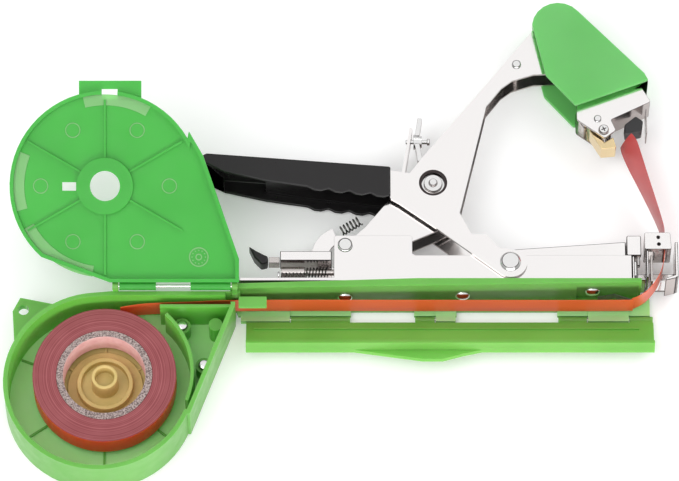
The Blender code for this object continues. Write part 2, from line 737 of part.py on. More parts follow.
def build_arm():
    foot = arc(ARM_PIVOT, 4.4, 130, 285, 10)
    outline = [ARM_WEB[-1]] + foot + [(14.0, -9.0), (29.8, -3.8)] + ARM_INNER + ARM_WEB[:-1]
    arm = prism("upper_arm", outline, MID - ARM_HALF, MID + ARM_HALF)
    # an inverted channel: open everywhere but along the web
    inner_line = [(x + 0.85, y - 0.85) for x, y in ARM_WEB[1:-1]]
    hollow = (
        [(84.0, 94.0)]
        + inner_line
        + [(8.6, -2.0), (0.0, 2.0), (-4.0, -6.0), (0.0, -14.0), (30.0, -14.0), (60.0, 0.0), (75.0, 60.0), (120.0, 60.0), (120.0, 90.0), (95.0, 100.0)]
    )
    cut(arm, prism("cut_arm", hollow, MID - ARM_HALF + 1.1, MID + ARM_HALF - 1.1))
    path = cam_slot()
    slot = [disc("cut_slot_start", path[0], 1.9, 0, 25, 16)]
    for i, (a, b) in enumerate(zip(path, path[1:])):
        run = Vector((b[0] - a[0], b[1] - a[1])).normalized() * 0.3
        side = Vector((-run.y, run.x)).normalized() * 1.9
        corners = [
            (a[0] - run.x + side.x, a[1] - run.y + side.y),
            (a[0] - run.x - side.x, a[1] - run.y - side.y),
            (b[0] + run.x - side.x, b[1] + run.y - side.y),
            (b[0] + run.x + side.x, b[1] + run.y + side.y),
        ]
        slot.append(prism(f"cut_slot_{i}", corners, 0, 25))
    slot.append(disc("cut_slot_end", path[-1], 1.9, 0, 25, 16))
    cut(
        arm,
        disc("cut_arm_foot", ARM_PIVOT, 1.9, 0, 25, 24),
        disc("cut_arm_rivet", ARM_RIVET, 1.3, 0, 25, 16),
        disc("cut_arm_jaw_rivet", JAW_RIVET, 1.5, 0, 25, 16),
        *slot,
    )


def cap_outline():
    crown = arc((90.5, 91.0), 10.8, 175, 40, 8)
    return crown + [(125.6, 69.6), (127.2, 66.4), (124.6, 65.4), (97.0, 54.9), (85.0, 68.6)]


def build_head():
    outline = cap_outline()
    cap = prism("head_cap", outline, 0.0, 2 * MID)
    inner = [(81.0, 91.0), (84.0, 97.0), (90.6, 99.6), (97.0, 97.4), (123.4, 70.0), (130.0, 62.0), (98.0, 46.0), (84.6, 62.0), (79.0, 80.0), (76.0, 88.0)]
    cut(cap, prism("cut_cap", inner, 1.8, 2 * MID - 1.8))
    cut(cap, box("cut_cap_window", (70.0, 92.0), (60.0, 96.0), (MID - ARM_HALF - 0.4, MID + ARM_HALF + 0.4)))

    side = rounded([(97.6, 58.6), (97.6, 50.2), (109.0, 41.8), (113.6, 45.4), (111.6, 50.2), (128.2, 58.4), (123.6, 66.4), (104.0, 70.6)], 0.8, 3)
    jaw = prism("jaw_bracket", side, MID - 7.2, MID + 7.2)
    cut(
        jaw,
        prism(
            "cut_jaw",
            [(95.0, 72.0), (95.0, 40.0), (109.0, 39.0), (115.0, 45.0), (110.6, 51.0), (126.8, 59.0), (122.0, 73.0)],
            MID - 6.1,
            MID + 6.1,
        ),
    )
    cut(
        jaw,
        disc("cut_jaw_rivet", JAW_RIVET, 1.5, 0, 25, 16),
        disc("cut_jaw_screw", JAW_SCREW, 1.3, 0, 25, 16),
        disc("cut_jaw_rivet_front", JAW_RIVET_FRONT, 1.2, MID + 5, 25, 16),
    )
    pin("jaw_rivet", JAW_RIVET, 1.2, 2.2, MID - 7.4, MID + 7.4, 0.6, 20)
    pin("arm_rivet", ARM_RIVET, 1.0, 2.0, MID - ARM_HALF - 0.2, MID + ARM_HALF + 0.2, 0.5, 16)
    pin("jaw_screw", JAW_SCREW, 1.0, 2.3, MID - 7.4, MID + 7.4, 0.8, 20)
    pin("jaw_rivet_front", JAW_RIVET_FRONT, 0.9, 1.7, MID + 6.0, MID + 7.3, 0.45, 20)
    clincher = prism("clincher", rounded([(102.0, 52.0), (103.0, 46.0), (107.6, 38.2), (113.8, 38.8), (112.6, 43.6), (108.8, 41.2), (104.2, 52.0)], 0.5, 2), MID - 4.6, MID + 4.6)
    guide = [(99.0, 56.0), (101.2, 52.6), (104.2, 53.2), (105.2, 54.6), (103.4, 56.2)]
    prism("jaw_guide", guide, MID - 5.6, MID + 5.6)
    catch = rounded([(117.2, 49.4), (117.6, 45.6), (124.4, 46.8), (125.0, 51.2), (122.0, 53.4)], 0.6, 2)
    prism("tape_catch", catch, MID - 4.0, MID + 4.0)
    box("cutter_blade", (126.0, 126.5), (45.0, 56.0), (MID - 5.0, MID + 5.0))


def build_springs():
    coil("return_spring", (0.8, 3.0, MID), (8.6, 8.0, MID), 1.9, 0.7, 6)
    lathe(
        "adjuster_stud",
        (0, 0),
        [(0, 27.4), (1.0, 27.4), (1.0, 36.2), (1.5, 36.2), (1.5, 37.2), (0, 37.4)],
        14,
        along_x(43.4, MID),
    )
    nut = lathe(
        "wing_nut",
        (0, 0),
        [(1.25, 30.6), (3.2, 30.6), (2.6, 34.0), (1.25, 34.0)],
        20,
        along_x(43.4, MID),
    )
    for i, side in enumerate((-1, 1)):
        wing = rounded([(31.0, 1.8), (33.0, 1.8), (33.8, 6.4), (34.2, 9.6), (32.2, 9.8), (31.8, 6.0)], 0.5, 2)
        wing = [(x, 43.4 + side * y) for x, y in wing]
        join(nut, prism(f"add_wing_{i}", wing, MID - 2.4, MID + 2.4))


def build_screws():
    for i, x in enumerate(CHANNEL_SCREWS):
        # the heads face down into the channel, the last one from inside the window
        seat = 23.4 if i == 2 else 26.65 - 0.0153 * (x + 43.0)
        down = Matrix.Translation((x, 0, MID)) @ Matrix.Rotation(pi / 2, 4, "X")
        screw(f"channel_screw_{i + 1}", 2.1, seat, seat - 19.6, down)
    for i, (x, y) in enumerate(HOUSING_SCREWS):
        screw(f"housing_screw_{i + 1}", 2.4, 10.1, 3.0, Matrix.Translation((x, y, 0)))


COVER_KNUCKLES = ((-88.8, -74.0), (-60.0, -43.8))


def main():
    clear_scene()
    build_body_shell()
    build_tape_cover()
    build_channel_cover()
    build_hinge_pins()
    build_tape()
    build_frame()
    build_magazine()
    build_rear_feed()
    build_nose()
    build_lever()
    build_grip()
    build_pins()
    build_arm()
    build_head()
    build_springs()
    build_screws()


if __name__ == "__main__":
    main()
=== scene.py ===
"""Looks of the plant-tying tape gun: materials, softened edges, fine parts, light and camera.

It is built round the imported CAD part, in metres and in the CAD frame.
"""

import json
from math import cos, pi, radians, sin, sqrt

import bmesh
import bpy
from mathutils import Matrix, Vector


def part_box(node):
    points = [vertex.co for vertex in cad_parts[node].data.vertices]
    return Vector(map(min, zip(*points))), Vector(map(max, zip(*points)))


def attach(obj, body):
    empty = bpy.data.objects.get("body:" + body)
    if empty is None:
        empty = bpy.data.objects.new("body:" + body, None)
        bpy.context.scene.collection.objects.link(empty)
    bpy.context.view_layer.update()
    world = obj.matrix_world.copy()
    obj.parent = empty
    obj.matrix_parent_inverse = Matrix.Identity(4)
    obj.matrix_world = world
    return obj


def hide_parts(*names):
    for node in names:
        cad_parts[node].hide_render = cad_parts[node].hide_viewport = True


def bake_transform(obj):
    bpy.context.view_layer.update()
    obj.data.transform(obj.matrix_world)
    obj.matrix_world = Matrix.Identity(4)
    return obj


MM = 0.001
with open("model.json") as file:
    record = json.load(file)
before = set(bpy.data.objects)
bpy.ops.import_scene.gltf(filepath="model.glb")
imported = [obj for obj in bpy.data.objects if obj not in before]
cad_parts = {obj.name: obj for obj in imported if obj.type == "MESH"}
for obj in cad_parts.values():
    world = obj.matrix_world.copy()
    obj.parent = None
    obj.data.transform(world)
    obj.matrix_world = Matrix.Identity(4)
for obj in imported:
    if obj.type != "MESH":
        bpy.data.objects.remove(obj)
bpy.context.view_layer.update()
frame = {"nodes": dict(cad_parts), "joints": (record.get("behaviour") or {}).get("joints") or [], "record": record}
nodes = frame["nodes"]
BODY_OF = {
    node: body
    for body, members in frame["record"]["behaviour"]["bodies"].items()
    for node in members
}


def joint(name):
    return next(j for j in frame["joints"] if j["name"] == name)


def centre(node):
    low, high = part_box(node)
    return (low + high) / 2


# ---- materials ----
class Paint:
    """One procedural material and short names for the nodes it takes."""

    def __init__(self, name, colour, roughness, metallic=0.0, **sockets):
        self.material = bpy.data.materials.new(name)
        self.material.use_nodes = True
        self.tree = self.material.node_tree
        self.shader = self.tree.nodes["Principled BSDF"]
        self.shader.inputs["Base Color"].default_value = (*colour, 1)
        self.shader.inputs["Roughness"].default_value = roughness
        self.shader.inputs["Metallic"].default_value = metallic
        for socket, value in sockets.items():
            self.shader.inputs[socket.replace("_", " ")].default_value = value
        self.place = self.tree.nodes.new("ShaderNodeTexCoord").outputs["Object"]

    def link(self, source, target):
        self.tree.links.new(source, target)

    def noise(self, scale, detail=4.0, stretch=None):
        """Noise of about scale millimetres, optionally stretched along an axis."""
        node = self.tree.nodes.new("ShaderNodeTexNoise")
        node.inputs["Scale"].default_value = 1.0 / (scale * MM)
        node.inputs["Detail"].default_value = detail
        place = self.place
        if stretch:
            mapping = self.tree.nodes.new("ShaderNodeMapping")
            mapping.inputs["Scale"].default_value = stretch
            self.link(place, mapping.inputs["Vector"])
            place = mapping.outputs["Vector"]
        self.link(place, node.inputs["Vector"])
        return node.outputs["Fac"]

    def radius(self, axis_point):
        """Distance from the z axis through axis_point."""
        shift = self.tree.nodes.new("ShaderNodeVectorMath")
        shift.operation = "SUBTRACT"
        shift.inputs[1].default_value = axis_point
        self.link(self.place, shift.inputs[0])
        flat = self.tree.nodes.new("ShaderNodeVectorMath")
        flat.operation = "MULTIPLY"
        flat.inputs[1].default_value = (1, 1, 0)
        self.link(shift.outputs["Vector"], flat.inputs[0])
        length = self.tree.nodes.new("ShaderNodeVectorMath")
        length.operation = "LENGTH"
        self.link(flat.outputs["Vector"], length.inputs[0])
        return length.outputs["Value"]

    def rings(self, axis_point, scale, detail):
        """Uneven rings about the z axis through axis_point, about scale millimetres apart."""
        node = self.tree.nodes.new("ShaderNodeTexNoise")
        node.noise_dimensions = "1D"
        node.inputs["Scale"].default_value = 1.0
        node.inputs["Detail"].default_value = detail
        place = self.math("MULTIPLY", self.radius(axis_point), 1.0 / (scale * MM))
        self.link(place, node.inputs["W"])
        return node.outputs["Fac"]

    def math(self, operation, a, b):
        """The result of one operation on two values, each a number or a node's output."""
        node = self.tree.nodes.new("ShaderNodeMath")
        node.operation = operation
        for i, value in enumerate((a, b)):
            if isinstance(value, (int, float)):
                node.inputs[i].default_value = value
            else:
                self.link(value, node.inputs[i])
        return node.outputs["Value"]

    def spread(self, factor, low, high, socket, start=0.3, end=0.7):
        """Colours or values from low to high as the factor goes from start to end."""
        ramp = self.tree.nodes.new("ShaderNodeValToRGB")
        ramp.color_ramp.elements[0].position = start
        ramp.color_ramp.elements[1].position = end
        for element, value in zip(ramp.color_ramp.elements, (low, high)):
            rgb = value if isinstance(value, tuple) else (value,) * 3
            element.color = (*rgb, 1)
        self.link(factor, ramp.inputs["Fac"])
        self.link(ramp.outputs["Color"], self.shader.inputs[socket])
        return self

    def bump(self, height, strength, distance):
        """Relief of about distance millimetres, following the height."""
        node = self.tree.nodes.new("ShaderNodeBump")
        node.inputs["Strength"].default_value = strength
        node.inputs["Distance"].default_value = distance * MM
        self.link(height, node.inputs["Height"])
        self.link(node.outputs["Normal"], self.shader.inputs["Normal"])
        return self


def green(name, base, deep, **sockets):
    """Moulded plastic: broad flow marks in the colour and a fine satin skin."""
    skin = dict(Specular_IOR_Level=0.3, Coat_Weight=0.06, Coat_Roughness=0.2)
    paint = Paint(name, base, 0.36, **skin, **sockets)
    paint.spread(paint.noise(34, 2), deep, base, "Base Color", 0.32, 0.62)
    paint.spread(paint.noise(6, 3), 0.3, 0.44, "Roughness")
    return paint.bump(paint.noise(0.35, 2), 0.12, 0.05)


def polished(name, colour, low, high, scale=14):
    """Plated metal with faint smears and hairline polishing marks."""
    paint = Paint(name, colour, low, metallic=1.0)
    paint.spread(paint.noise(scale, 4), low, high, "Roughness", 0.35, 0.7)
    return paint.bump(paint.noise(0.5, 2, (1, 9, 1)), 0.05, 0.02)


ROLL_AXIS = Vector(joint("roll_spin")["pos_m"])
GLOW = dict(Subsurface_Weight=0.35, Subsurface_Scale=0.006, Subsurface_Radius=(0.35, 1.0, 0.3))
BODY_GREEN = green("body_green", (0.150, 0.42, 0.080), (0.122, 0.37, 0.060), **GLOW)
FLAP_GREEN = green("flap_green", (0.185, 0.47, 0.085), (0.15, 0.42, 0.066), **GLOW)
COVER_GREEN = green("cover_green", (0.046, 0.365, 0.044), (0.038, 0.33, 0.036), **GLOW)
# paler copies of the green for the tray's floor and inner walls: painted light
LIT_FLOOR_GREEN = green("floor_green_painted_light", (0.46, 0.84, 0.34), (0.40, 0.79, 0.27), **GLOW)
LIT_INNER_GREEN = green("inner_green_painted_light", (0.185, 0.60, 0.085), (0.15, 0.54, 0.065), **GLOW)
CAP_GREEN = green("cap_green", (0.150, 0.50, 0.140), (0.130, 0.46, 0.120), **GLOW)
# a paler green; on the lid's lip arcs the paleness is painted light
LIP_GREEN = green("lip_green", (0.19, 0.50, 0.16), (0.155, 0.46, 0.13), **GLOW)
CHROME = polished("chrome_plate", (0.97, 0.945, 0.935), 0.10, 0.2)
# near-black paint for the rounded edges of metal parts: painted shade, dark outlines and reflections
EDGE_SHADE = polished("painted_edge_shade", (0.055, 0.045, 0.045), 0.35, 0.55, 3)
# a darker copy of the metal for upright faces: painted shade
SHADED_WALL = polished("sheet_wall_painted_shade", (0.50, 0.455, 0.44), 0.14, 0.3, 6)
PIN = polished("plated_pin", (0.86, 0.855, 0.85), 0.12, 0.24, 4)
DARK_STEEL = polished("dark_spring_steel", (0.16, 0.155, 0.15), 0.25, 0.42, 3)
STEEL = polished("plain_steel", (0.62, 0.58, 0.56), 0.22, 0.38, 5)
BRASS = Paint("brass_plate", (0.80, 0.63, 0.36), 0.2, metallic=1.0)
BRASS.spread(BRASS.noise(6, 2), 0.16, 0.26, "Roughness")


def make_tape(name, colour, deep, gloss=0.5, **sockets):
    paint = Paint(name, colour, 0.3, Specular_IOR_Level=gloss, **sockets)
    paint.spread(paint.noise(9, 3, (0.25, 1, 1)), deep, colour, "Base Color", 0.3, 0.7)
    return paint.bump(paint.noise(2.5, 2, (0.3, 1, 3)), 0.15, 0.08)


FILM_GLOW = dict(Subsurface_Weight=0.08, Subsurface_Scale=0.003)
SIDE_GLOW = dict(
    Subsurface_Weight=0.5, Subsurface_Scale=0.008, Subsurface_Radius=(1.0, 0.25, 0.1)
)
TAPE = make_tape("tape_film", (0.80, 0.105, 0.030), (0.70, 0.080, 0.022), **FILM_GLOW)
FREE_TAPE = make_tape("tape_film_single", (0.60, 0.085, 0.085), (0.52, 0.06, 0.06), Alpha=0.78)


def make_wound():
    """The roll's end face: the edges of the wound film, as fine rings."""
    paint = Paint("tape_wound", (0.27, 0.055, 0.06), 0.5, Specular_IOR_Level=0.25)
    fine = paint.rings(ROLL_AXIS, 0.55, 6)
    wound = paint.math("MULTIPLY", fine, 0.8)
    patches = paint.math("MULTIPLY", paint.noise(9, 3), 0.2)
    mixed = paint.math("ADD", wound, patches)
    dark, pale = (0.215, 0.042, 0.049), (0.385, 0.115, 0.125)
    paint.spread(mixed, dark, pale, "Base Color", 0.36, 0.72)
    return paint.bump(fine, 0.25, 0.08)


def make_card():
    paint = Paint("core_board", (0.36, 0.29, 0.28), 0.85, Specular_IOR_Level=0.2)
    dark, pale = (0.10, 0.07, 0.07), (0.46, 0.37, 0.35)
    paint.spread(paint.noise(0.5, 5), dark, pale, "Base Color", 0.36, 0.62)
    return paint.bump(paint.noise(0.4, 4), 0.3, 0.1)


def make_core_liner():
    """The pale pink paper that lines the core."""
    paint = Paint("core_liner", (0.86, 0.50, 0.50), 0.7, Specular_IOR_Level=0.2)
    paint.spread(paint.noise(3, 4), (0.80, 0.43, 0.43), (0.90, 0.58, 0.57), "Base Color")
    return paint.bump(paint.noise(0.6, 3), 0.15, 0.05)


def make_vinyl():
    paint = Paint("dipped_vinyl", (0.010, 0.009, 0.0095), 0.34, Specular_IOR_Level=0.4)
    paint.spread(paint.noise(5, 3), 0.26, 0.44, "Roughness")
    return paint.bump(paint.noise(0.7, 3), 0.2, 0.08)


def make_hub():
    paint = Paint("hub_tan", (0.60, 0.45, 0.15), 0.45)
    paint.spread(paint.noise(9, 3), (0.50, 0.39, 0.12), (0.66, 0.48, 0.18), "Base Color", 0.3, 0.7)
    return paint.bump(paint.noise(0.4, 2), 0.15, 0.05)


WOUND, CARD, VINYL, HUB = make_wound(), make_card(), make_vinyl(), make_hub()
LINER = make_core_liner()
# the roll's outer face is a brighter red than the film: painted light, for the glow of light through the wound
# film
ROLL_SIDE = make_tape("roll_side", (1.0, 0.065, 0.025), (0.95, 0.055, 0.02), 0.08, **SIDE_GLOW)
CATCH = Paint("catch_black", (0.015, 0.015, 0.016), 0.4)
CATCH.spread(CATCH.noise(2, 3), 0.32, 0.52, "Roughness").bump(CATCH.noise(0.4, 2), 0.2, 0.05)


# ---- pieces made from CAD nodes ----
def new_object(name, mesh):
    obj = bpy.data.objects.new(name, mesh)
    bpy.context.scene.collection.objects.link(obj)
    return obj


def paint_object(obj, paint):
    obj.data.materials.clear()
    obj.data.materials.append(paint.material)
    return obj


def finish_mesh(work, mesh):
    """Writes a bmesh into the mesh with every face turned outwards."""
    bmesh.ops.recalc_face_normals(work, faces=work.faces)
    work.to_mesh(mesh)
    work.free()
    return mesh


def solid_mesh(name, points, faces):
    mesh = bpy.data.meshes.new(name)
    mesh.from_pydata(points, [], faces)
    work = bmesh.new()
    work.from_mesh(mesh)
    return finish_mesh(work, mesh)


def shade_smooth(mesh):
    for polygon in mesh.polygons:
        polygon.use_smooth = True


def round_edges(obj, width):
    bevel = obj.modifiers.new("round the edges", "BEVEL")
    bevel.width = width * MM
    bevel.segments = 2
    return bevel


def split_edges(obj):
    """Keeps the edges sharper than 50 degrees crisp under smooth shading."""
    obj.modifiers.new("edges", "EDGE_SPLIT").split_angle = radians(50)


SHARP = radians(28)  # edges that turn more than this are rounded


def softened(node, paint, width, edge=None):
    """A copy of a node's shape with its hard edges rounded by width millimetres, in place
    of the node. With an edge paint, the rounding takes that near-black paint and the upright
    walls a darker metal: both are painted shade, the dark outlines and darker sides of the metal."""
    mesh = nodes[node].data.copy()
    work = bmesh.new()
    work.from_mesh(mesh)
    bmesh.ops.remove_doubles(work, verts=work.verts, dist=2e-6)
    bmesh.ops.dissolve_limit(
        work, angle_limit=radians(1.0), verts=work.verts, edges=work.edges
    )
    work.to_mesh(mesh)
    work.free()
    obj = paint_object(new_object(f"{node}_shape", mesh), paint)
    shade_smooth(mesh)
    bevel = round_edges(obj, width)
    bevel.limit_method = "ANGLE"
    bevel.angle_limit = SHARP
    bevel.harden_normals = True
    bevel.use_clamp_overlap = True
    if edge:
        mesh.materials.append(edge.material)
        mesh.materials.append(SHADED_WALL.material)
        edge_slot, wall_slot = 1, 2
        bevel.material = edge_slot
        # upright faces take the darker metal: painted shade
        for polygon in mesh.polygons:
            if abs(polygon.normal.z) < 0.5:
                polygon.material_index = wall_slot
    normals = obj.modifiers.new("flat faces stay flat", "WEIGHTED_NORMAL")
    normals.keep_sharp = True
    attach(obj, BODY_OF[node])
    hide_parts(node)
    return obj


SHEET_PARTS = ["main_frame", "magazine", "magazine_cover", "upper_arm", "jaw_bracket", "lever"]
NOSE_PARTS = ["nose_block", "tape_guide", "nose_plate", "nose_tie", "front_bracket", "feed_block"]
RIVETS = ["lever_pivot_pin", "arm_pivot_pin", "cam_pin", "arm_rivet"]
HEAD_FIXINGS = ["jaw_rivet", "jaw_rivet_front", "jaw_screw"]
HINGE_PINS = ["cover_hinge_pin", "flap_hinge_pin_1", "flap_hinge_pin_2", "flap_hinge_pin_3"]
PLAIN_PARTS = ["staple_strip", "pusher", "pusher_rod", "pusher_tab", "driver", "cutter_blade"]

# paint, painted edge shade, rounding in mm, nodes
FINISHES = [
    (BODY_GREEN, None, 0.35, ["body_shell"]),
    (FLAP_GREEN, None, 0.35, ["channel_cover"]),
    (COVER_GREEN, None, 0.3, ["tape_cover"]),
    (CAP_GREEN, None, 1.3, ["head_cap"]),
    (HUB, None, 0.4, ["roll_hub"]),
    (CARD, None, 0.25, ["tape_core"]),
    (CHROME, EDGE_SHADE, 0.42, SHEET_PARTS),
    (CHROME, EDGE_SHADE, 0.32, NOSE_PARTS),
    (CHROME, EDGE_SHADE, 0.1, ["rear_stop", "jaw_guide"]),
    (PIN, EDGE_SHADE, 0.15, RIVETS + HEAD_FIXINGS),
    (PIN, EDGE_SHADE, 0.12, ["housing_screw_1", "housing_screw_2"]),
    (PIN, EDGE_SHADE, 0.1, ["adjuster_stud", "spring_washer"]),
    (PIN, None, 0.1, HINGE_PINS),
    (PIN, EDGE_SHADE, 0.25, ["wing_nut"]),
    (STEEL, EDGE_SHADE, 0.12, PLAIN_PARTS),
    (DARK_STEEL, None, 0.05, ["brake_spring"]),
    (BRASS, None, 0.3, ["clincher"]),
    (VINYL, None, 0.8, ["grip", "pusher_tip"]),
    (CATCH, None, 0.5, ["tape_catch"]),
]
for paint, edge, width, names in FINISHES:
    for name in names:
        softened(name, paint, width, edge)


def dip_handle():
    """The vinyl coats both faces of the steel inside the grip."""
    lever = bpy.data.objects["lever_shape"]
    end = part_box("grip")[1].x - 0.0003
    work = bmesh.new()
    work.from_mesh(lever.data)
    bmesh.ops.bisect_plane(
        work,
        geom=work.verts[:] + work.edges[:] + work.faces[:],
        plane_co=(end, 0, 0),
        plane_no=(1, 0, 0),
    )
    vinyl_slot = len(lever.data.materials)
    lever.data.materials.append(VINYL.material)
    for face in work.faces:
        if face.calc_center_median().x < end:
            face.material_index = vinyl_slot
    work.to_mesh(lever.data)
    work.free()


def paint_springs_and_roll():
    """CAD nodes that keep their own meshes and only take paints."""
    for name in ("return_spring", "pusher_spring", "base_spring"):
        paint_object(nodes[name], DARK_STEEL)
    roll = paint_object(nodes["tape_roll"], ROLL_SIDE).data
    roll.materials.append(WOUND.material)
    for polygon in roll.polygons:
        end_face = abs(polygon.normal.z) > 0.9
        polygon.material_index = 1 if end_face else 0
        polygon.use_smooth = not end_face


def lighten_tray():
    """The tray's floor and inner walls take paler greens: painted light, for the light that comes through the thin
    walls, strongest on the floor.
    """
    floor_top, tray_reach, tray_end = 0.004, 0.062, -0.045
    shell = bpy.data.objects["body_shell_shape"].data
    shell.materials.append(LIT_FLOOR_GREEN.material)
    shell.materials.append(LIT_INNER_GREEN.material)
    for polygon in shell.polygons:
        out = polygon.center - ROLL_AXIS
        away = Vector((out.x, out.y, 0))
        upright = abs(polygon.normal.z) < 0.5
        in_tray = away.length < tray_reach and polygon.center.x < tray_end
        if polygon.normal.z > 0.9 and polygon.center.z < floor_top:
            polygon.material_index = 1
        elif upright and in_tray and polygon.normal.dot(away) < 0:
            polygon.material_index = 2


def line_core():
    core = bpy.data.objects["tape_core_shape"].data
    core.materials.append(LINER.material)
    for polygon in core.polygons:
        middle = polygon.center - ROLL_AXIS
        inward = polygon.normal.x * middle.x + polygon.normal.y * middle.y < 0
        polygon.material_index = 1 if inward and abs(polygon.normal.z) < 0.5 else 0


dip_handle()
paint_springs_and_roll()
lighten_tray()
line_core()


# ---- the tape ----
MID = centre("tape_run").z / MM  # the plane of the tape's middle line
ROLL_X, ROLL_Y = ROLL_AXIS.x / MM, ROLL_AXIS.y / MM
NOSE_X = (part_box("tape_run")[1].x / MM) - 0.25  # where the tape runs up through its guide
TAPE_WIDTH, FILM_THICKNESS = 11.0, 0.2


def smooth_path(stations, steps):
    """A Catmull-Rom curve through the stations, steps points to each span."""
    points = []
    for i in range(len(stations) - 1):
        p = [Vector(stations[min(max(i + k, 0), len(stations) - 1)]) for k in (-1, 0, 1, 2)]
        for n in range(steps):
            t = n / steps
            points.append(
                0.5
                * (
                    2 * p[1]
                    + (p[2] - p[0]) * t
                    + (2 * p[0] - 5 * p[1] + 4 * p[2] - p[3]) * t**2
                    + (3 * p[1] - p[0] - 3 * p[2] + p[3]) * t**3
                )
            )
    return points + [Vector(stations[-1])]


def ribbon(name, stations, paint, steps, cup):
    """Tape film on edge through stations (x mm, y mm, lean in degrees), its middle line at
    the height MID, and cupped by cup millimetres across its width."""
    path = smooth_path(stations, steps)
    across_count = 6
    points, faces = [], []
    for i, station in enumerate(path):
        before, after = path[max(0, i - 1)], path[min(len(path) - 1, i + 1)]
        run = Vector((after.x - before.x, after.y - before.y, 0)).normalized()
        across = Matrix.Rotation(radians(station.z), 3, run) @ Vector((0, 0, 1))
        out = across.cross(run)
        middle = Vector((station.x, station.y, MID))
        for side in (0.5, -0.5):
            for k in range(across_count + 1):
                u = k / across_count - 0.5
                lift = cup * (1 - 4 * u * u) + side * FILM_THICKNESS
                points.append((middle + across * (u * TAPE_WIDTH) + out * lift) * MM)
    ring = 2 * (across_count + 1)
    top = list(range(across_count + 1))
    loop = top + [across_count + 1 + k for k in reversed(range(across_count + 1))]
    for i in range(len(path) - 1):
        for a, b in zip(loop, loop[1:] + loop[:1]):
            faces.append((i * ring + a, i * ring + b, (i + 1) * ring + b, (i + 1) * ring + a))
    faces.append(loop[::-1])
    faces.append([(len(path) - 1) * ring + k for k in loop])
    mesh = solid_mesh(name, points, faces)
    for polygon in mesh.polygons:
        polygon.use_smooth = len(polygon.vertices) == 4
    obj = new_object(name, mesh)
    split_edges(obj)
    return paint_object(obj, paint)


def build_tapes():
    run_y = joint("channel_cover_hinge")["pos_m"][1] / MM + 2.0
    route = [
        (ROLL_X + 6.0, ROLL_Y + 29.6, 0),
        (ROLL_X + 16.0, ROLL_Y + 31.2, 0),
        (ROLL_X + 34.0, run_y - 0.8, 0),
        (ROLL_X + 58.0, run_y, 0),
        (NOSE_X - 92.0, run_y, 0),
        (NOSE_X - 20.6, run_y, 0),
        (NOSE_X - 13.6, run_y + 0.8, 0),
        (NOSE_X - 8.6, run_y + 3.4, 0),
        (NOSE_X - 5.0, run_y + 7.2, 0),
        (NOSE_X - 2.4, run_y + 11.4, 0),
        (NOSE_X - 0.8, run_y + 16.2, 0),
        (NOSE_X, run_y + 21.8, 0),
        (NOSE_X, run_y + 28.8, 0),
    ]
    run = ribbon("tape_run_film", route, TAPE, 5, 0.12)
    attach(run, "frame")
    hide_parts("tape_run")

    low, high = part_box("tape_span")
    bottom, top = low.y / MM, high.y / MM
    span = [
        (NOSE_X, bottom, 0),
        (NOSE_X - 0.5, bottom + 3, 3),
        (NOSE_X - 2.2, bottom + 9, 6),
        (NOSE_X - 4.9, bottom + 17, 12),
        (NOSE_X - 8.1, bottom + 26, 20),
        (NOSE_X - 11.3, bottom + 35, 30),
        (NOSE_X - 13.3, bottom + 41, 33),
        (NOSE_X - 14.6, top, 24),
    ]
    film = ribbon("tape_span_film", span, FREE_TAPE, 6, 0.5)
    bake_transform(film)
    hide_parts("tape_span")


build_tapes()


# ---- the lid's moulded details ----
HINGE = Vector(joint("cover_hinge")["pos_m"])
LID_OPEN = radians(-154)  # from shut to the rest pose
LID_INNER = 0.7  # from the hinge line down to the lid's inner face, in mm
LID_MIDDLE = (-95.85, 40.5)  # of the round part: across, and out from the hinge, in mm


def lid_matrix():
    """Takes (across, out from the hinge, height above the inner face) to the open lid."""
    closed = Matrix(
        (
            (MM, 0, 0, 0),
            (0, -MM, 0, HINGE.y),
            (0, 0, -MM, HINGE.z - LID_INNER * MM),
            (0, 0, 0, 1),
        )
    )
    swing = Matrix.Rotation(LID_OPEN, 4, "X")
    return Matrix.Translation(HINGE) @ swing @ Matrix.Translation(-HINGE) @ closed


def band(name, middle, inner, outer, start, end, low, high, steps, matrix, paint, body):
    """A flat raised arc, or a whole ring when it spans 360 degrees. Radii and heights are
    in millimetres, and the matrix takes them to the frame."""
    work = bmesh.new()
    rings = []
    for i in range(steps + 1):
        angle = radians(start + (end - start) * i / steps)
        section = ((inner, low), (inner, high), (outer, high), (outer, low))
        rings.append(
            [
                work.verts.new(
                    matrix
                    @ Vector((middle[0] + radius * cos(angle), middle[1] + radius * sin(angle), z))
                )
                for radius, z in section
            ]
        )
    for a, b in zip(rings, rings[1:]):
        for k in range(4):
            work.faces.new((a[k], a[(k + 1) % 4], b[(k + 1) % 4], b[k]))
    if end - start == 360:
        bmesh.ops.remove_doubles(work, verts=work.verts, dist=1e-6)
    else:
        work.faces.new(rings[0])
        work.faces.new(rings[-1][::-1])
    mesh = finish_mesh(work, bpy.data.meshes.new(name))
    obj = paint_object(new_object(name, mesh), paint)
    round_edges(obj, 0.08)
    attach(obj, body)
    return obj


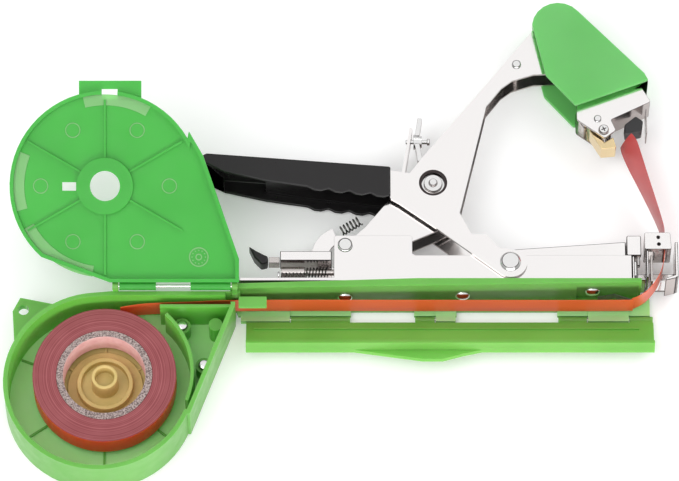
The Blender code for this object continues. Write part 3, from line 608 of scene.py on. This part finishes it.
def build_lid_details():
    """Marks moulded on the lid's inner face, their feet sunk into it so that no gap shows."""
    matrix = lid_matrix()

    def mark(name, middle, inner, outer, start, end, height, steps):
        sunk = -0.1
        band(
            name, middle, inner, outer, start, end, sunk, height, steps,
            matrix, LIP_GREEN, "tape_cover",
        )  # fmt: skip

    ejectors = 26.0  # radius of the ring that they stand on
    for i, angle in enumerate((0, 60, 120, 180, 240, 300)):
        x = LID_MIDDLE[0] + ejectors * cos(radians(angle))
        y = LID_MIDDLE[1] + ejectors * sin(radians(angle))
        mark(f"ejector_mark_{i}", (x, y), 2.7, 3.1, 0, 360, 0.12, 24)
    # raised arcs where the lid laps over the tray's rim, in a paler green: the paler colour is painted light, for
    # light coming through the rim beneath
    for i, (start, end) in enumerate(((60, 104), (158, 196), (208, 262))):
        mark(f"lid_lip_{i}", LID_MIDDLE, 32.6, 37.0, start, end, 0.35, 20)
    # a plain mould clock: a rim, a hub and a ring of dots
    clock, dots = (-58.0, 11.8), 2.7
    mark("mould_clock_rim", clock, 3.5, 4.0, 0, 360, 0.15, 28)
    mark("mould_clock_hub", clock, 0.9, 1.4, 0, 360, 0.15, 16)
    for i in range(12):
        angle = radians(30 * i)
        dot = (clock[0] + dots * cos(angle), clock[1] + dots * sin(angle))
        mark(f"mould_clock_dot_{i}", dot, 0.1, 0.3, 0, 360, 0.15, 8)


build_lid_details()


# ---- moulded details of the tray and channel ----
def slab(name, outline, low, high, paint, body, round_off=0.3):
    """A plate of the given outline (x, y in mm) between two heights, its edges rounded."""
    count = len(outline)
    points = [Vector((x, y, z)) * MM for z in (low, high) for x, y in outline]
    faces = [tuple(range(count))[::-1], tuple(range(count, 2 * count))]
    faces += [(k, (k + 1) % count, count + (k + 1) % count, count + k) for k in range(count)]
    mesh = solid_mesh(name, points, faces)
    obj = paint_object(new_object(name, mesh), paint)
    round_edges(obj, round_off).harden_normals = True
    shade_smooth(mesh)
    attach(obj, body)
    return obj


def rectangle(x, y):
    """The outline between two values of x and two of y."""
    return [(x[0], y[0]), (x[1], y[0]), (x[1], y[1]), (x[0], y[1])]


def build_neck():
    """The thin bridge that keeps the tape in where the tray meets the channel."""
    outline = rectangle((-42.0, -30.6), (-33.2, -28.2))
    slab("neck_bridge", outline, 20.4, 21.5, BODY_GREEN, "frame")


TRAY = Vector((-97.95, -65.17))  # middle of the tray's round wall, in mm
TRAY_RADIUS = 36.4  # how far from there the ribs of the floor reach
TRAY_FLOOR = 1.9  # height at which what stands on the tray's floor starts
UPRIGHT = Matrix.Diagonal((MM, MM, MM, 1))  # millimetres straight into the frame


def spoke(name, middle, angle, inner, outer, width, low, high, paint, body):
    """A straight rib along a radius."""
    way = Vector((cos(radians(angle)), sin(radians(angle))))
    side = Vector((-way.y, way.x)) * width / 2
    corners = rectangle((inner, outer), (-1, 1))
    outline = [tuple(middle + way * a + side * b) for a, b in corners]
    return slab(name, outline, low, high, paint, body, 0.12)


def build_tray_floor():
    """The hub's wide foot and the ribs moulded in the tray's floor round it."""
    middle = Vector((ROLL_X, ROLL_Y))

    def ring(name, inner, outer, high, paint):
        band(name, middle, inner, outer, 0, 360, TRAY_FLOOR, high, 72, UPRIGHT, paint, "frame")

    ring("hub_foot", 12.5, 23.5, 3.1, HUB)
    ring("tray_floor_ring", 24.3, 25.3, 2.7, LIP_GREEN)
    rib_width = 0.8
    for i in range(6):
        angle = 30 + 60 * i
        spoke(f"hub_rib_{i}", middle, angle, 13.5, 22.5, rib_width, 3.0, 3.9, HUB, "frame")
    for i, angle in enumerate((160, 215, 270, 320)):
        way = Vector((cos(radians(angle)), sin(radians(angle))))
        gap = middle - TRAY
        along = gap.dot(way)
        wall = -along + sqrt(along**2 - gap.length_squared + TRAY_RADIUS**2)
        spoke(
            f"tray_rib_{i}", middle, angle, 25.6, wall, rib_width, TRAY_FLOOR, 3.0,
            BODY_GREEN, "frame",
        )  # fmt: skip


def build_cross_recess():
    """The cross in the head of the jaw's screw, as two near-black bars: painted shade for the recess."""
    low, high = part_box("jaw_screw")
    middle = Vector(((low.x + high.x) / 2, (low.y + high.y) / 2)) / MM
    top, reach, width = high.z / MM, 1.15, 0.5
    for i, angle in enumerate((25, 115)):
        name = f"jaw_screw_cross_{i}"
        spoke(name, middle, angle, -reach, reach, width, top - 0.2, top + 0.05, EDGE_SHADE, "arm")


def build_cam_well():
    """A near-black ring round the cam pin's head: painted shade, the dark reflection in the wall of the well round
    it.
    """
    pin = centre("cam_pin") / MM
    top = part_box("lever")[1].z / MM
    low, high = top - 0.7, top - 0.25
    middle = (pin.x, pin.y)
    band("cam_well_painted_shade", middle, 4.7, 5.75, 0, 360, low, high, 48, UPRIGHT, EDGE_SHADE, "handle")


def build_magazine_mouth():
    """What shows in the magazine's open front end: a dark block with two pale ribs."""
    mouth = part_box("magazine")[1].x / MM
    low_y, high_y = -17.4, -9.6
    block = rectangle((mouth + 0.3, mouth + 4.6), (low_y, high_y))
    slab("mouth_block", block, 7.4, 15.2, DARK_STEEL, "frame")
    for i, x in enumerate((mouth + 1.0, mouth + 3.2)):
        rib = rectangle((x, x + 0.8), (low_y + 0.8, high_y - 0.8))
        slab(f"mouth_rib_{i}", rib, 15.0, 15.9, PIN, "frame", 0.15)


def build_channel_screws():
    """Pan-headed screws seen from under the channel's green top, wider than the CAD's."""
    head, shank, point, crown = 3.15, 0.95, 0.6, 0.5
    for number in (1, 2, 3):
        node = f"channel_screw_{number}"
        low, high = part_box(node)
        middle = (low + high) / 2
        tip, end = low.y / MM, high.y / MM
        under_head = tip + 1.26
        profile = [
            (0, tip - crown),
            (1.2, tip - 0.42),
            (2.2, tip - 0.1),
            (2.9, tip + 0.4),
            (head, tip + 1.0),
            (head, under_head),
            (shank, under_head),
            (shank, end - 0.4),
            (point, end),
            (0, end),
        ]
        work = bmesh.new()
        verts = [work.verts.new((middle.x + a * MM, y * MM, middle.z)) for a, y in profile]
        edges = [work.edges.new(pair) for pair in zip(verts, verts[1:])]
        bmesh.ops.spin(
            work,
            geom=verts + edges,
            cent=(middle.x, 0, middle.z),
            axis=(0, 1, 0),
            angle=2 * pi,
            steps=32,
            use_merge=True,
        )
        bmesh.ops.remove_doubles(work, verts=work.verts, dist=1e-6)
        mesh = finish_mesh(work, bpy.data.meshes.new(node))
        shade_smooth(mesh)
        obj = paint_object(new_object(f"{node}_shape", mesh), PIN)
        split_edges(obj)
        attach(obj, "frame")
        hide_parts(node)


build_neck()
build_channel_screws()
build_tray_floor()
build_cross_recess()
build_cam_well()
build_magazine_mouth()


# ---- studio ----
def build_floor():
    """A pale ground that the tool lies on, faintly lit so that it ends near white."""
    mesh = bpy.data.meshes.new("floor")
    half, level = 3.0, -0.0004
    corners = [(x, y, level) for x, y in rectangle((-half, half), (-half, half))]
    mesh.from_pydata(corners, [], [(0, 1, 2, 3)])
    floor = new_object("floor", mesh)
    glow = dict(Specular_IOR_Level=0.1, Emission_Strength=0.14)
    paint = Paint("floor_pale", (0.93, 0.93, 0.93), 0.7, **glow)
    paint.shader.inputs["Emission Color"].default_value = (1, 1, 1, 1)
    paint.spread(paint.noise(60, 2), (0.92, 0.92, 0.92), (0.94, 0.94, 0.94), "Base Color")
    paint_object(floor, paint)


def softbox(name, place, aim, size, power):
    """A rectangular lamp at a place, turned to its aim, in metres and watts."""
    data = bpy.data.lights.new(name, "AREA")
    data.shape = "RECTANGLE"
    data.size, data.size_y = size
    data.energy = power
    light = bpy.data.objects.new(name, data)
    bpy.context.scene.collection.objects.link(light)
    light.location = place
    light.rotation_euler = (Vector(aim) - Vector(place)).to_track_quat("-Z", "Y").to_euler()


def build_light():
    """A grey studio that the metal can mirror, and three soft lamps."""
    world = bpy.data.worlds.new("studio")
    bpy.context.scene.world = world
    world.use_nodes = True
    tree = world.node_tree
    background = tree.nodes["Background"]
    place = tree.nodes.new("ShaderNodeTexCoord")
    split = tree.nodes.new("ShaderNodeSeparateXYZ")
    ramp = tree.nodes.new("ShaderNodeValToRGB")
    tree.links.new(place.outputs["Generated"], split.inputs["Vector"])
    tree.links.new(split.outputs["Z"], ramp.inputs["Fac"])
    tree.links.new(ramp.outputs["Color"], background.inputs["Color"])
    # height in the sky and its grey, with a darker belt low down for the chrome to mirror
    stops = [
        (0.0, 0.85),
        (0.04, 0.5),
        (0.30, 0.45),
        (0.42, 0.75),
        (0.7, 0.8),
        (0.86, 0.93),
        (1.0, 0.96),
    ]
    elements = ramp.color_ramp.elements
    while len(elements) < len(stops):
        elements.new(0.5)
    for element, (position, value) in zip(elements, stops):
        element.position = position
        element.color = (value, value, value, 1)
    background.inputs["Strength"].default_value = 1.0
    softbox("key", (-0.35, -0.25, 0.75), (0, 0, 0), (0.6, 0.6), 2.2)
    softbox("front", (0.1, -1.1, 0.32), (0, -0.03, 0.01), (1.4, 0.4), 7.0)
    softbox("fill", (0.55, 0.35, 0.6), (0.05, 0, 0), (0.5, 0.5), 1.2)


def build_camera():
    """Looks down at the tool on its side, from its lower edge, through a long lens."""
    data = bpy.data.cameras.new("camera")
    camera = bpy.data.objects.new("camera", data)
    bpy.context.scene.collection.objects.link(camera)
    elevation, distance = radians(66), 2.4
    aim = Vector((-0.00115, 0.00093, 0.0115))
    camera.location = aim + distance * Vector((0, -cos(elevation), sin(elevation)))
    camera.rotation_euler = (aim - camera.location).to_track_quat("-Z", "Y").to_euler()
    view_width = 0.2771  # metres across the picture at the aim point
    data.sensor_width = 36
    data.lens = data.sensor_width * distance / view_width
    bpy.context.scene.camera = camera


build_floor()
build_light()
build_camera()
bpy.context.scene.view_settings.view_transform = "Standard"
